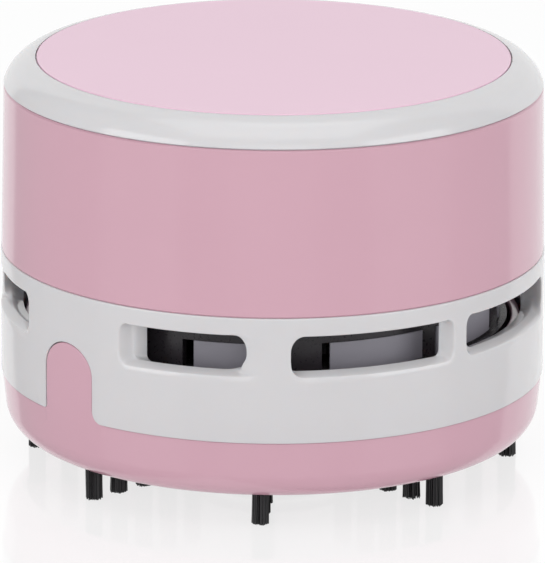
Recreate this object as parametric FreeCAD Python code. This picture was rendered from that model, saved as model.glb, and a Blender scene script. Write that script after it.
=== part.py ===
import FreeCAD, Part
import math
import os

# A hand-sized desk vacuum cleaner, in millimetres. The origin is on the desk, below the centre
# of the round body. The two latch tongues point along X, and the on and off switch faces +Y.
# The round body is as small as its two cells allow, and as high as the fan and the motor stack.

# General fits
wall = 2.0
slip = 0.1
overrun = 5.0
edge_break = 0.25

# Motor
motor_radius = 10.05
motor_flat_depth = 2.5
can_height = 19.5
can_wall = 0.8
end_cap_height = 3.8
nub_radius = 3.05
nub_length = 1.7
shaft_radius = 1.0
shaft_clearance = 0.05
press_gap = 0.02
magnet_thickness = 2.35
armature_end_gap = 3.7
armature_length = 11.5
armature_slot_width = 1.1
armature_core_radius = 3.0
pole_count = 3
magnet_air_gap = 0.45
magnet_seat_gap = 0.1
magnet_half_angle = 44.0
magnet_overlap = 1.6
commutator_radius = 2.3
commutator_length = 3.7
motor_tab_offset = 5.2
motor_tab_half_width = 1.2
motor_tab_thickness = 0.4
motor_tab_height = 2.2
socket_height = 4.0
socket_wall = 1.4

# Battery tray with two AA cells lying along X
cell_radius = 7.25
cell_length = 50.5
cell_nub_radius = 2.75
cell_nub_length = 1.0
motor_side_gap = 1.0
trough_clearance = 0.2
trough_side_wall = 1.0
trough_floor = 1.25
trough_rim_height = 1.5
bay_end_wall = 1.2
end_wall_rise = 5.0
contact_thickness = 0.4
contact_half_width = 5.0
contact_drop = 5.0
contact_rise = 6.5
spring_length = 3.2
spring_radius = 3.2
spring_bore_radius = 2.6
bridge_thickness = 1.5
bridge_gap = 1.95
motor_half_flat = motor_radius - motor_flat_depth
trough_inner_side = motor_half_flat + motor_side_gap
cell_offset = trough_inner_side + trough_side_wall + trough_clearance + cell_radius
trough_outer_side = cell_offset + cell_radius + trough_clearance + trough_side_wall
bay_half_length = (cell_length + spring_length + contact_thickness * 2) / 2

# Round body
bay_corner_gap = 1.328
upper_step = 0.1
bay_corner_radius = math.hypot(bay_half_length + bay_end_wall, trough_outer_side)
body_radius = bay_corner_radius + bay_corner_gap + wall + upper_step
ring_inner_radius = body_radius - wall - slip

# Dust tray: base ring, floor and inner cup wall, moulded in one
rim_height = 5.1
base_height = 8.95
base_step = 0.15
base_rim_inset = 3.05
base_rim_land = 0.6
base_bend_inset = 0.5
base_bend_height = 3.9
base_curve_inset = 1.3
base_curve_height = 1.6
floor_recess = 0.5
floor_thickness = 1.8
cup_gap = 1.5
cup_wall_thickness = 1.4
cup_rim_gap = 0.7
ring_gap_floor_height = 1.5
tray_line_height = rim_height + base_height
base_top_radius = body_radius - base_step
base_rim_radius = base_top_radius - base_rim_inset
tray_floor_underside = rim_height + floor_recess
tray_floor_top = tray_floor_underside + floor_thickness
ring_gap_floor = tray_floor_top + ring_gap_floor_height
cup_wall_outer_radius = ring_inner_radius - cup_gap
dust_cup_radius = cup_wall_outer_radius - cup_wall_thickness

# Suction nozzle in the middle of the floor
nozzle_bore_radius = 9.5
nozzle_tube_wall = 1.4
nozzle_flange_width = 1.1
nozzle_drop = 0.2
nozzle_tube_height = 7.6
nozzle_hole_clearance = 0.1
nozzle_tube_radius = nozzle_bore_radius + nozzle_tube_wall
nozzle_flange_radius = nozzle_tube_radius + nozzle_flange_width
nozzle_underside = rim_height - nozzle_drop
nozzle_tube_top = tray_floor_top + nozzle_tube_height

# Bristle tufts: eight spokes of five
spoke_count = 8
tufts_per_spoke = 5
tuft_radius = 1.25
tuft_edge_gap = 0.3
tuft_nozzle_gap = 4.3
tuft_socket_depth = 1.2
tuft_socket_clearance = 0.05
outer_tuft_radius = dust_cup_radius - tuft_edge_gap
inner_tuft_radius = nozzle_flange_radius + tuft_nozzle_gap
tuft_spacing = (outer_tuft_radius - inner_tuft_radius) / (tufts_per_spoke - 1)

# Latch tongues
tongue_half_width = 5.15
tongue_side_height = 6.85
tongue_crown_height = 4.5
tongue_gap = 0.15
tongue_wide_fillet = 1.9
tongue_small_fillet = 0.45
tongue_hook_half_width = 4.5
hook_cup_gap = 0.55
hook_depth = 0.45
hook_half_angle = 9.5
hook_top_gap = 0.3
hook_height = 1.6
catch_gap = 0.1
catch_drop = 0.4
catch_height = 1.4
catch_start_angle = 8.6
catch_end_angle = 11.0
tongue_side_top = tray_line_height + tongue_side_height
tongue_top = tongue_side_top + tongue_crown_height
hook_inner_radius = cup_wall_outer_radius + hook_cup_gap
hook_outer_radius = hook_inner_radius + hook_depth
hook_high = tongue_side_top - hook_top_gap
hook_low = hook_high - hook_height
catch_radius = hook_outer_radius + catch_gap
catch_high = hook_low - catch_drop
catch_low = catch_high - catch_height

# Impeller and fan cage, from the tray line up to the deck
filter_frame_rise = 4.15
frame_ring_wall = 1.8
frame_floor_thickness = 0.6
frame_spoke_width = 2.0
frame_hub_radius = 4.0
filter_thickness = 2.0
filter_inset = 3.5
filter_clearance = 0.2
filter_top_gap = 0.4
cage_floor_thickness = 1.6
cage_floor_gap = 0.6
cage_wall = 1.5
cage_inlet_radius = 12.0
cage_inset = 4.6
window_sill_height = 0.3
window_height = 4.3
inner_window = (2.2, 30.2)
outer_window = (39.0, 65.1)
inner_screen = (2.4, 28.2)
outer_screen = (39.2, 62.0)
screen_proud = 0.2
screen_thickness = 0.6
cage_post_radius = 1.9
cage_post_inset = 1.8
impeller_post_gap = 1.3
impeller_floor_gap = 0.8
impeller_blade_height = 6.0
impeller_plate_thickness = 1.0
impeller_deck_gap = 1.2
hub_radius = 3.2
blade_count = 9
blade_root_radius = 9.0
blade_tip_inset = 0.6
blade_sweep_angle = 38.0
blade_bow_share = 0.16
blade_thickness = 1.2
deck_thickness = 1.5
deck_inset = 0.3
frame_low = tray_line_height + filter_frame_rise
filter_low = frame_low + frame_floor_thickness
cage_floor_low = filter_low + filter_thickness + filter_top_gap
cage_floor_high = cage_floor_low + cage_floor_thickness
window_low = cage_floor_high + window_sill_height
window_top = window_low + window_height
impeller_low = cage_floor_high + impeller_floor_gap
impeller_plate_low = impeller_low + impeller_blade_height
impeller_top = impeller_plate_low + impeller_plate_thickness
deck_low = impeller_top + impeller_deck_gap
vent_band_top = deck_low + deck_thickness
deck_radius = body_radius - wall - deck_inset
cage_outer_radius = deck_radius - cage_inset
cage_floor_radius = dust_cup_radius - cage_floor_gap
filter_radius = cage_outer_radius - filter_inset
cage_post_offset = cage_outer_radius - cage_wall - cage_post_inset
impeller_radius = cage_post_offset - cage_post_radius - impeller_post_gap
blade_tip_radius = impeller_radius - blade_tip_inset

# Vent band
belt_slip = 0.2
belt_height = 8.3
vent_head_height = 1.4
vent_height = 5.4
vent_corner = 1.2
throat_depth = 1.7
mouth_sill_drop = 0.7
mouth_head_rise = 0.2
bar_relief_depth = 1.9
vent_cut_share = 0.55
long_vent_throat = (4.12, 40.57)
long_vent_mouth = (1.56, 39.12)
short_vent_throat = (45.75, 73.4)
short_vent_mouth = (47.43, 75.81)
short_vent_jamb = 72.4
band_radius = body_radius
band_inner_radius = band_radius - wall
belt_radius = cup_wall_outer_radius + belt_slip
belt_high = deck_low
belt_low = belt_high - belt_height
cup_wall_top = belt_low - cup_rim_gap
vent_high = belt_high - vent_head_height
vent_low = vent_high - vent_height
throat_radius = band_radius - throat_depth
bar_relief_radius = band_radius - bar_relief_depth

# Upper housing, tapering towards the top, over the strapped motor
strap_half_width = 3.5
strap_thickness = 1.2
strap_side_gap = 2.75
strap_foot_length = 7.0
strap_screw_spacing = 3.5
strap_headroom = 0.95
upper_taper = 0.45
foot_step = 0.4
foot_height = 2.0
can_top = vent_band_top + can_height
end_cap_top = can_top + end_cap_height
strap_half_span = motor_radius + strap_side_gap + strap_thickness
strap_screw_offset = strap_half_span + strap_screw_spacing
cap_line_height = end_cap_top + strap_thickness + strap_headroom
upper_bottom_radius = body_radius - upper_step
upper_top_radius = upper_bottom_radius - upper_taper
foot_inner_radius = belt_radius + foot_step

# Motor parts that follow from the can
magnet_outer_radius = motor_radius - can_wall - magnet_seat_gap
magnet_inner_radius = magnet_outer_radius - magnet_thickness
armature_radius = magnet_inner_radius - magnet_air_gap
armature_low = vent_band_top + armature_end_gap
armature_high = armature_low + armature_length
magnet_low = armature_low - magnet_overlap
magnet_high = armature_high + magnet_overlap
commutator_high = armature_high + commutator_length
shaft_bottom_gap = 0.4
shaft_top_gap = 0.6
shaft_low = impeller_low - shaft_bottom_gap
shaft_top = end_cap_top - shaft_top_gap

# Cells and contacts above the deck
cell_height = vent_band_top + trough_floor + trough_clearance + cell_radius
end_wall_top = cell_height + end_wall_rise
contact_low = cell_height - contact_drop
contact_top = cell_height + contact_rise
bridge_inner_end = motor_radius + bridge_gap

# Screws
screw_head_radius = 1.6
screw_head_height = 1.3
screw_shank_radius = 0.85
screw_pilot_radius = 0.9
screw_clear_radius = 1.0
flush_head_height = 1.0
housing_screw_reach = 6.0
cage_screw_reach = 5.0
boss_radius = 2.4
boss_height = 7.7
boss_roof = 1.0
housing_screw_offset = (cage_outer_radius + belt_radius) / 2

# Switch
switch_half_width = 6.5
switch_window_height = 6.4
switch_top_gap = 7.55
switch_recess_depth = 1.6
switch_pad_border = 1.0
switch_pad_thickness = 2.3
knob_half_width = 2.4
knob_half_height = 2.6
knob_thickness = 1.05
knob_gap = 0.05
knob_rib_depth = 0.35
knob_rib_width = 0.5
knob_rib_count = 3
knob_rib_spacing = 1.3
knob_travel = 3.0
stem_half_width = 1.0
stem_half_height = 0.9
stem_length = 2.8
stem_slot_clearance = 0.15
switch_body_half_width = 4.4
switch_body_half_height = 2.9
switch_body_depth = 4.0
switch_tab_offset = 2.0
switch_tab_thickness = 0.8
switch_tab_length = 2.6
switch_tab_half_height = 1.0
switch_high = cap_line_height - switch_top_gap
switch_low = switch_high - switch_window_height
switch_height = (switch_low + switch_high) / 2
switch_floor_offset = upper_bottom_radius - switch_recess_depth
switch_pad_inner = switch_floor_offset - switch_pad_thickness
knob_low_offset = switch_floor_offset + knob_gap
knob_face_offset = knob_low_offset + knob_thickness
stem_inner_offset = switch_pad_inner - stem_length
switch_body_inner = switch_pad_inner - switch_body_depth
switch_tab_inner = switch_body_inner - switch_tab_length

# Leads
lead_radius = 0.6
bend_share = 0.45
switch_solder_offset = (switch_tab_inner + switch_body_inner) / 2
motor_solder_height = end_cap_top + motor_tab_height / 2

# Top cap
shoulder_height = 4.25
shoulder_width = 5.0
shoulder_mid_inset = 1.5
shoulder_mid_rise = 2.6
shoulder_top_drop = 0.12
disc_gap = 0.2
disc_thickness = 1.2
disc_edge_break = 0.2
cap_web_thickness = 1.2
skirt_depth = 3.2
skirt_thickness = 1.6
skirt_clearance = 0.15
overall_height = cap_line_height + shoulder_height
disc_radius = upper_top_radius - shoulder_width

quarter_turn = 90
half_turn = 180
full_turn = 360
z_axis = FreeCAD.Vector(0, 0, 1)


def vec(x, y, z):
    return FreeCAD.Vector(x, y, z)


def polar(radius, angle, height):
    turn = math.radians(angle)
    return vec(radius * math.cos(turn), radius * math.sin(turn), height)


def turned(shape, angle):
    """The shape turned about the body's own axis."""
    copy = shape.copy()
    copy.rotate(vec(0, 0, 0), z_axis, angle)
    return copy


def save(name, shape):
    shape.exportStep("parts/" + name + ".step")


def group(shapes):
    """Separate solids kept in one node."""
    solids = []
    for shape in shapes:
        solids.extend(shape.Solids)
    return Part.makeCompound(solids)


def cylinder(radius, low, high, x=0, y=0):
    return Part.makeCylinder(radius, high - low, vec(x, y, low))


def ring(outer, inner, low, high):
    return cylinder(outer, low, high).cut(cylinder(inner, low, high))


def box(x_low, x_high, y_low, y_high, z_low, z_high):
    return Part.makeBox(x_high - x_low, y_high - y_low, z_high - z_low, vec(x_low, y_low, z_low))


def along_x(radius, x_low, x_high, y, z):
    return Part.makeCylinder(radius, x_high - x_low, vec(x_low, y, z), vec(1, 0, 0))


def along_y(radius, y_low, y_high, x, z):
    return Part.makeCylinder(radius, y_high - y_low, vec(x, y_low, z), vec(0, 1, 0))


def wedge(outer, inner, low, high, start_angle, end_angle):
    """A piece of a ring between two angles."""
    outside = Part.makeCylinder(outer, high - low, vec(0, 0, low), z_axis, end_angle - start_angle)
    return turned(outside, start_angle).cut(cylinder(inner, low, high))


def spun(edges):
    """A closed outline in the XZ plane carried once round the axis."""
    face = Part.Face(Part.Wire(edges))
    return face.revolve(vec(0, 0, 0), z_axis, full_turn)


def lines(points):
    """Straight edges through a row of points."""
    edges = []
    for start, end in zip(points, points[1:]):
        edges.append(Part.makeLine(start, end))
    return edges


def profile(pairs):
    return [vec(radius, 0, height) for radius, height in pairs]


def all_of(shapes):
    first = shapes[0]
    return first.fuse(shapes[1:]) if len(shapes) > 1 else first


def quarter_places(radius, start_angle):
    """Four places on a circle, a quarter turn apart."""
    return [polar(radius, start_angle + quarter_turn * step, 0) for step in range(4)]


def screw(x, y, head_low, head_height, tip):
    """A headed screw whose shank points away from its head, down or up."""
    head = cylinder(screw_head_radius, head_low, head_low + head_height, x, y)
    low = min(tip, head_low + head_height)
    high = max(tip, head_low)
    return head.fuse(cylinder(screw_shank_radius, low, high, x, y))


def tongue_prism(margin, inner, outer):
    """The latch tongue's outline, seen along X, with an even margin round it."""
    half = tongue_half_width + margin
    left_low = vec(inner, -half, tray_line_height)
    left_high = vec(inner, -half, tongue_side_top)
    crown = vec(inner, 0, tongue_top + margin)
    right_high = vec(inner, half, tongue_side_top)
    right_low = vec(inner, half, tray_line_height)
    arch = Part.Arc(left_high, crown, right_high).toShape()
    side = Part.makeLine(left_low, left_high)
    edges = [side, arch, Part.makeLine(right_high, right_low), Part.makeLine(right_low, left_low)]
    return Part.Face(Part.Wire(edges)).extrude(vec(outer - inner, 0, 0))


def foot_fillet_prism(radius, side, margin, inner, outer):
    """A hollow fillet at one foot of the tongue: a square corner less a quarter round."""
    near, far = sorted((side * tongue_half_width, side * (tongue_half_width + radius)))
    corner = box(inner, outer, near, far, tray_line_height, tray_line_height + radius)
    middle = side * (tongue_half_width + radius)
    hollow = along_x(radius - margin, inner, outer, middle, tray_line_height + radius)
    return corner.cut(hollow)


def foot_fillets(margin, inner, outer):
    """The wide fillet at the +Y foot and the small one at the -Y foot."""
    wide = foot_fillet_prism(tongue_wide_fillet, 1, margin, inner, outer)
    small = foot_fillet_prism(tongue_small_fillet, -1, margin, inner, outer)
    return [wide, small]


def both_sides(shape):
    """The shape and its copy half a turn round the axis."""
    return [shape, turned(shape, half_turn)]


def tuft_places():
    places = []
    for spoke in range(spoke_count):
        for step in range(tufts_per_spoke):
            angle = spoke * full_turn / spoke_count
            places.append(polar(outer_tuft_radius - step * tuft_spacing, angle, 0))
    return places


def make_dust_tray():
    hole = nozzle_tube_radius + nozzle_hole_clearance
    rim_inner = base_rim_radius - base_rim_land
    rim_slope = tray_floor_underside - rim_height
    curve_start = vec(base_rim_radius, 0, rim_height)
    curve_mid = vec(base_top_radius - base_curve_inset, 0, rim_height + base_curve_height)
    curve_end = vec(base_top_radius - base_bend_inset, 0, rim_height + base_bend_height)
    under = profile([
        (hole, tray_floor_underside),
        (rim_inner - rim_slope, tray_floor_underside),
        (rim_inner, rim_height),
        (base_rim_radius, rim_height),
    ])
    upper = profile([
        (base_top_radius - base_bend_inset, rim_height + base_bend_height),
        (base_top_radius, tray_line_height - edge_break),
        (base_top_radius - edge_break, tray_line_height),
        (ring_inner_radius, tray_line_height),
        (ring_inner_radius, ring_gap_floor),
        (cup_wall_outer_radius, ring_gap_floor),
        (cup_wall_outer_radius, cup_wall_top),
        (dust_cup_radius, cup_wall_top),
        (dust_cup_radius, tray_floor_top),
        (hole, tray_floor_top),
        (hole, tray_floor_underside),
    ])
    curve = Part.Arc(curve_start, curve_mid, curve_end).toShape()
    tray = spun(lines(under) + [curve] + lines(upper))
    socket = tuft_radius + tuft_socket_clearance
    socket_top = tray_floor_underside + tuft_socket_depth
    low = rim_height - overrun
    sockets = [cylinder(socket, low, socket_top, place.x, place.y) for place in tuft_places()]
    tray = tray.cut(sockets)
    shell = ring(base_top_radius, ring_inner_radius, tray_line_height, tongue_side_top)
    fillets = []
    for fillet in foot_fillets(0, ring_inner_radius - wall, body_radius + wall):
        fillets = fillets + both_sides(fillet.common(shell))
    return tray.fuse(fillets).removeSplitter()


def make_nozzle():
    top = nozzle_tube_top
    outline = profile([
        (nozzle_bore_radius + edge_break, nozzle_underside),
        (nozzle_flange_radius - edge_break, nozzle_underside),
        (nozzle_flange_radius, nozzle_underside + edge_break),
        (nozzle_flange_radius, tray_floor_underside),
        (nozzle_tube_radius, tray_floor_underside),
        (nozzle_tube_radius, top),
        (nozzle_bore_radius, top),
        (nozzle_bore_radius, nozzle_underside + edge_break),
        (nozzle_bore_radius + edge_break, nozzle_underside),
    ])
    return spun(lines(outline))


def make_tufts():
    top = tray_floor_underside + tuft_socket_depth
    return group([cylinder(tuft_radius, 0, top, place.x, place.y) for place in tuft_places()])


def make_tongue():
    """One latch tongue, at +X, with the hook behind it."""
    shell = ring(base_top_radius, ring_inner_radius, tray_line_height, tongue_top)
    tongue = tongue_prism(0, ring_inner_radius - wall, body_radius + wall).common(shell)
    web_shell = ring(ring_inner_radius + slip, hook_inner_radius, hook_low, hook_high)
    half = tongue_hook_half_width
    web = box(0, body_radius, -half, half, hook_low, hook_high).common(web_shell)
    barb = wedge(hook_outer_radius, hook_inner_radius, hook_low, hook_high,
                 -hook_half_angle, hook_half_angle)
    return all_of([tongue, web, barb]).removeSplitter()


def vent_hole(angles, from_y):
    """A rounded slot cut straight in along Y or X, as its mould slide does."""
    start, end = angles
    near = throat_radius * math.sin(math.radians(start if from_y else quarter_turn - end))
    far = throat_radius * math.sin(math.radians(end if from_y else quarter_turn - start))
    deep = belt_radius * vent_cut_share
    reach = body_radius + overrun
    corner = vent_corner
    if from_y:
        wide = box(near, far, deep, reach, vent_low + corner, vent_high - corner)
        tall = box(near + corner, far - corner, deep, reach, vent_low, vent_high)
        rounds = [along_y(corner, deep, reach, x, z) for x in (near + corner, far - corner)
                  for z in (vent_low + corner, vent_high - corner)]
    else:
        wide = box(deep, reach, near, far, vent_low + corner, vent_high - corner)
        tall = box(deep, reach, near + corner, far - corner, vent_low, vent_high)
        rounds = [along_x(corner, deep, reach, y, z) for y in (near + corner, far - corner)
                  for z in (vent_low + corner, vent_high - corner)]
    return all_of([wide, tall] + rounds)


def vent_mouth(throat, mouth):
    """The slot's outer part, with sloping ends, sill and head from its throat to the skin."""
    reach = band_radius + overrun
    stretch = (reach - throat_radius) / throat_depth
    outline = []
    for throat_angle, mouth_angle in zip(throat, mouth):
        foot = polar(throat_radius, quarter_turn - throat_angle, 0)
        lip = polar(band_radius, quarter_turn - mouth_angle, 0)
        outline.append((foot, foot + (lip - foot) * stretch))
    (foot_start, lip_start), (foot_end, lip_end) = outline
    middle = quarter_turn - sum(throat) / 2
    floor_arc = Part.Arc(foot_start, polar(throat_radius, middle, 0), foot_end).toShape()
    corner = polar(reach / math.cos(math.radians(mouth[1] - mouth[0])), middle, 0)
    outside = lines([foot_end, lip_end, corner, lip_start, foot_start])
    slab = Part.Face(Part.Wire([floor_arc] + outside)).extrude(vec(0, 0, overall_height))
    trough = spun(lines(profile([
        (throat_radius, vent_low),
        (reach, vent_low - mouth_sill_drop * stretch),
        (reach, vent_high + mouth_head_rise * stretch),
        (throat_radius, vent_high),
        (throat_radius, vent_low),
    ])))
    return slab.common(trough)


def four_ways(shape):
    """A shape in the +X +Y quarter, mirrored into the other three."""
    flipped = shape.mirror(vec(0, 0, 0), vec(1, 0, 0))
    return both_sides(shape) + both_sides(flipped)


def make_vent_housing():
    outline = profile([
        (band_radius - edge_break, tray_line_height),
        (band_radius, tray_line_height + edge_break),
        (band_radius, vent_band_top - edge_break),
        (band_radius - edge_break, vent_band_top),
        (band_inner_radius, vent_band_top),
        (band_inner_radius, belt_high),
        (belt_radius, belt_high),
        (belt_radius, belt_low),
        (band_inner_radius, belt_low),
        (band_inner_radius, tray_line_height),
        (band_radius - edge_break, tray_line_height),
    ])
    shell = spun(lines(outline))
    cuts = four_ways(vent_mouth(long_vent_throat, long_vent_mouth))
    cuts = cuts + four_ways(vent_mouth(short_vent_throat, short_vent_mouth))
    cuts = cuts + four_ways(vent_hole(long_vent_throat, True))
    cuts = cuts + four_ways(vent_hole((short_vent_throat[0], short_vent_jamb), False))
    deep = belt_radius - wall
    reach = body_radius + overrun
    half = throat_radius * math.sin(math.radians(long_vent_throat[0])) + vent_corner
    relief = box(-half, half, deep, reach, belt_low, belt_high)
    relief = relief.common(cylinder(bar_relief_radius, belt_low, belt_high))
    cuts = cuts + both_sides(relief)
    cuts = cuts + both_sides(tongue_prism(tongue_gap, deep, reach))
    for fillet in foot_fillets(tongue_gap, deep, reach):
        cuts = cuts + both_sides(fillet)
    shell = shell.cut(cuts)
    catches = []
    for start in (catch_start_angle, -catch_end_angle):
        end = start + catch_end_angle - catch_start_angle
        rib = wedge(band_inner_radius + slip, catch_radius, catch_low, catch_high, start, end)
        catches = catches + both_sides(rib)
    return shell.fuse(catches).removeSplitter()


def upper_radius_at(height):
    share = (height - vent_band_top) / (cap_line_height - vent_band_top)
    return upper_bottom_radius + (upper_top_radius - upper_bottom_radius) * share


def make_upper_housing():
    inner_top = upper_top_radius - wall
    foot_top = vent_band_top + foot_height
    outline = profile([
        (foot_inner_radius, vent_band_top),
        (upper_bottom_radius - edge_break, vent_band_top),
        (upper_bottom_radius, vent_band_top + edge_break),
        (upper_top_radius, cap_line_height - edge_break),
        (upper_top_radius - edge_break, cap_line_height),
        (inner_top, cap_line_height),
        (upper_radius_at(foot_top) - wall, foot_top),
        (foot_inner_radius, foot_top),
        (foot_inner_radius, vent_band_top),
    ])
    shell = spun(lines(outline))
    bosses = []
    pilots = []
    for place in quarter_places(housing_screw_offset, 0):
        boss_top = vent_band_top + boss_height
        bosses.append(cylinder(boss_radius, vent_band_top, boss_top, place.x, place.y))
        pilots.append(cylinder(screw_pilot_radius, vent_band_top - overrun, boss_top - boss_roof,
                               place.x, place.y))
    pad = box(-switch_half_width - switch_pad_border, switch_half_width + switch_pad_border,
              switch_pad_inner, switch_floor_offset,
              switch_low - switch_pad_border, switch_high + switch_pad_border)
    web = box(-boss_radius / 2, boss_radius / 2, housing_screw_offset, ring_inner_radius,
              vent_band_top, vent_band_top + boss_height)
    webs = [turned(web, quarter_turn * step) for step in range(4)]
    window = box(-switch_half_width, switch_half_width, switch_floor_offset,
                 body_radius + overrun, switch_low, switch_high)
    slot_reach = stem_half_width + stem_slot_clearance + knob_travel / 2
    slot_half = stem_half_height + stem_slot_clearance
    slot = box(-slot_reach, slot_reach, switch_body_inner, body_radius + overrun,
               switch_height - slot_half, switch_height + slot_half)
    shell = shell.fuse(bosses + webs + [pad])
    return shell.cut(pilots + [window, slot]).removeSplitter()


def motor_outline(margin, low, high):
    """The motor's round body with its two flats, grown by a margin."""
    half = motor_half_flat + margin
    reach = motor_radius + margin
    return cylinder(reach, low, high).common(box(-reach, reach, -half, half, low, high))


def make_motor_deck():
    low = vent_band_top - deck_thickness
    deck = cylinder(deck_radius, low, vent_band_top)
    socket_top = vent_band_top + socket_height
    socket = motor_outline(socket_wall, vent_band_top, socket_top)
    half = trough_inner_side - slip
    socket = socket.common(box(-deck_radius, deck_radius, -half, half, low, socket_top))
    deck = deck.fuse(socket)
    holes = [motor_outline(slip / 2, vent_band_top, socket_top + overrun)]
    holes.append(cylinder(nub_radius + slip, low - overrun, vent_band_top))
    for place in quarter_places(housing_screw_offset, 0):
        holes.append(cylinder(screw_clear_radius, low - overrun, vent_band_top + overrun,
                              place.x, place.y))
    sink = vent_band_top - flush_head_height
    for place in quarter_places(cage_post_offset, quarter_turn / 2):
        holes.append(cylinder(screw_clear_radius, low - overrun, sink, place.x, place.y))
        holes.append(cylinder(screw_head_radius + slip, sink, vent_band_top + overrun,
                              place.x, place.y))
    for x in (-strap_screw_offset, strap_screw_offset):
        holes.append(cylinder(screw_clear_radius, low - overrun, vent_band_top + overrun, x))
    return deck.cut(holes).removeSplitter()


def mirrored_places(spans):
    """Start and end angles from +X of spans that are given from +Y, mirrored about both axes."""
    places = []
    for start, end in spans:
        for middle in (quarter_turn, -quarter_turn):
            places.append((middle - end, middle - start))
            places.append((middle + start, middle + end))
    return places


def make_fan_cage():
    inner = cage_outer_radius - cage_wall
    cage = ring(cage_outer_radius, inner, cage_floor_high, belt_high)
    floor = ring(cage_floor_radius, cage_inlet_radius, cage_floor_low, cage_floor_high)
    posts = []
    pilots = []
    for place in quarter_places(cage_post_offset, quarter_turn / 2):
        posts.append(cylinder(cage_post_radius, cage_floor_low, belt_high, place.x, place.y))
        pilots.append(cylinder(screw_pilot_radius, belt_high - cage_screw_reach - wall,
                               belt_high + overrun, place.x, place.y))
    windows = [wedge(cage_outer_radius + overrun, inner - overrun, window_low, window_top,
                     start, end) for start, end in mirrored_places((inner_window, outer_window))]
    cage = cage.cut(windows)
    return all_of([cage, floor] + posts).cut(pilots).removeSplitter()


def make_exhaust_screens():
    outer = cage_outer_radius + screen_proud
    inner = outer - screen_thickness
    return group([wedge(outer, inner, window_low, window_top, start, end)
                  for start, end in mirrored_places((inner_screen, outer_screen))])


def make_filter_disc():
    return cylinder(filter_radius, filter_low, filter_low + filter_thickness)


def make_filter_frame():
    inner = filter_radius + filter_clearance
    hoop = ring(inner + frame_ring_wall, inner, frame_low, cage_floor_low)
    half = frame_spoke_width / 2
    bar = box(-inner - slip, inner + slip, -half, half, frame_low, filter_low)
    hub = cylinder(frame_hub_radius, frame_low, filter_low)
    return all_of([hoop, bar, turned(bar, quarter_turn), hub]).removeSplitter()


def make_housing_screws():
    low = belt_high - screw_head_height
    tip = vent_band_top + housing_screw_reach
    return group([screw(place.x, place.y, low, screw_head_height, tip)
                  for place in quarter_places(housing_screw_offset, 0)])


def make_cage_screws():
    low = vent_band_top - flush_head_height
    tip = belt_high - cage_screw_reach
    return group([screw(place.x, place.y, low, flush_head_height, tip)
                  for place in quarter_places(cage_post_offset, quarter_turn / 2)])


def blade():
    """One backward-curved blade in plan, pushed up from the open side to the plate."""
    root = polar(blade_root_radius, 0, impeller_low)
    tip = polar(blade_tip_radius, -blade_sweep_angle, impeller_low)
    span = tip - root
    across = vec(-span.y, span.x, 0)
    middle = (root + tip) / 2 + across * blade_bow_share
    side = across * (blade_thickness / across.Length)
    front = Part.Arc(root, middle, tip).toShape()
    back = Part.Arc(tip + side, middle + side, root + side).toShape()
    edges = [front, Part.makeLine(tip, tip + side), back, Part.makeLine(root + side, root)]
    return Part.Face(Part.Wire(edges)).extrude(vec(0, 0, impeller_plate_low - impeller_low))


def make_impeller():
    plate = cylinder(impeller_radius, impeller_plate_low, impeller_top)
    hub = cylinder(hub_radius, impeller_low, impeller_top)
    blades = [turned(blade(), full_turn * step / blade_count) for step in range(blade_count)]
    wheel = all_of([plate, hub] + blades)
    bore = cylinder(shaft_radius + press_gap, impeller_low - overrun, impeller_top + overrun)
    return wheel.cut(bore).removeSplitter()


def make_shaft():
    return cylinder(shaft_radius, shaft_low, shaft_top)


def make_armature():
    core = cylinder(armature_radius, armature_low, armature_high)
    half = armature_slot_width / 2
    slot = box(armature_core_radius, armature_radius + overrun, -half, half,
               armature_low, armature_high)
    slots = [turned(slot, full_turn * step / pole_count) for step in range(pole_count)]
    bore = cylinder(shaft_radius + press_gap, armature_low, armature_high)
    return core.cut(slots + [bore])


def make_commutator():
    return ring(commutator_radius, shaft_radius + press_gap, armature_high, commutator_high)


def make_motor_can():
    outer = motor_outline(0, vent_band_top, can_top)
    inner = motor_outline(-can_wall, vent_band_top + can_wall, can_top + overrun)
    nub = cylinder(nub_radius, vent_band_top - nub_length, vent_band_top + can_wall)
    bore = cylinder(shaft_radius + shaft_clearance, belt_low, can_top)
    return outer.cut(inner).fuse(nub).cut(bore).removeSplitter()


def make_magnets():
    magnet = wedge(magnet_outer_radius, magnet_inner_radius, magnet_low, magnet_high,
                   -magnet_half_angle, magnet_half_angle)
    inside = motor_outline(-can_wall, magnet_low, magnet_high)
    return group([piece.common(inside) for piece in both_sides(magnet)])


def motor_tabs(margin):
    half = motor_tab_half_width + margin
    thick = motor_tab_thickness / 2 + margin
    top = end_cap_top + motor_tab_height
    tab = box(-half, half, motor_tab_offset - thick, motor_tab_offset + thick,
              can_top + can_wall, top)
    return both_sides(tab)


def make_end_cap():
    cap = motor_outline(0, can_top, end_cap_top)
    bore = cylinder(shaft_radius + shaft_clearance, can_top - overrun, shaft_top + slip)
    return cap.cut([bore] + motor_tabs(0))


def make_motor_tabs():
    return group(motor_tabs(0))


def make_retainer():
    low = vent_band_top + bridge_thickness
    span = strap_half_span
    half = strap_half_width
    top = box(-span, span, -half, half, end_cap_top, end_cap_top + strap_thickness)
    leg = box(span - strap_thickness, span, -half, half, low, end_cap_top)
    foot = box(span - strap_thickness, span + strap_foot_length, -half, half,
               low, low + strap_thickness)
    strap = all_of([top] + both_sides(leg) + both_sides(foot))
    holes = [cylinder(screw_clear_radius, low - overrun, low + strap_thickness, x)
             for x in (-strap_screw_offset, strap_screw_offset)]
    return strap.cut(holes).removeSplitter()


def make_retainer_screws():
    low = vent_band_top + bridge_thickness + strap_thickness
    tip = belt_high + slip
    return group([screw(x, 0, low, screw_head_height, tip)
                  for x in (-strap_screw_offset, strap_screw_offset)])


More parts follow.
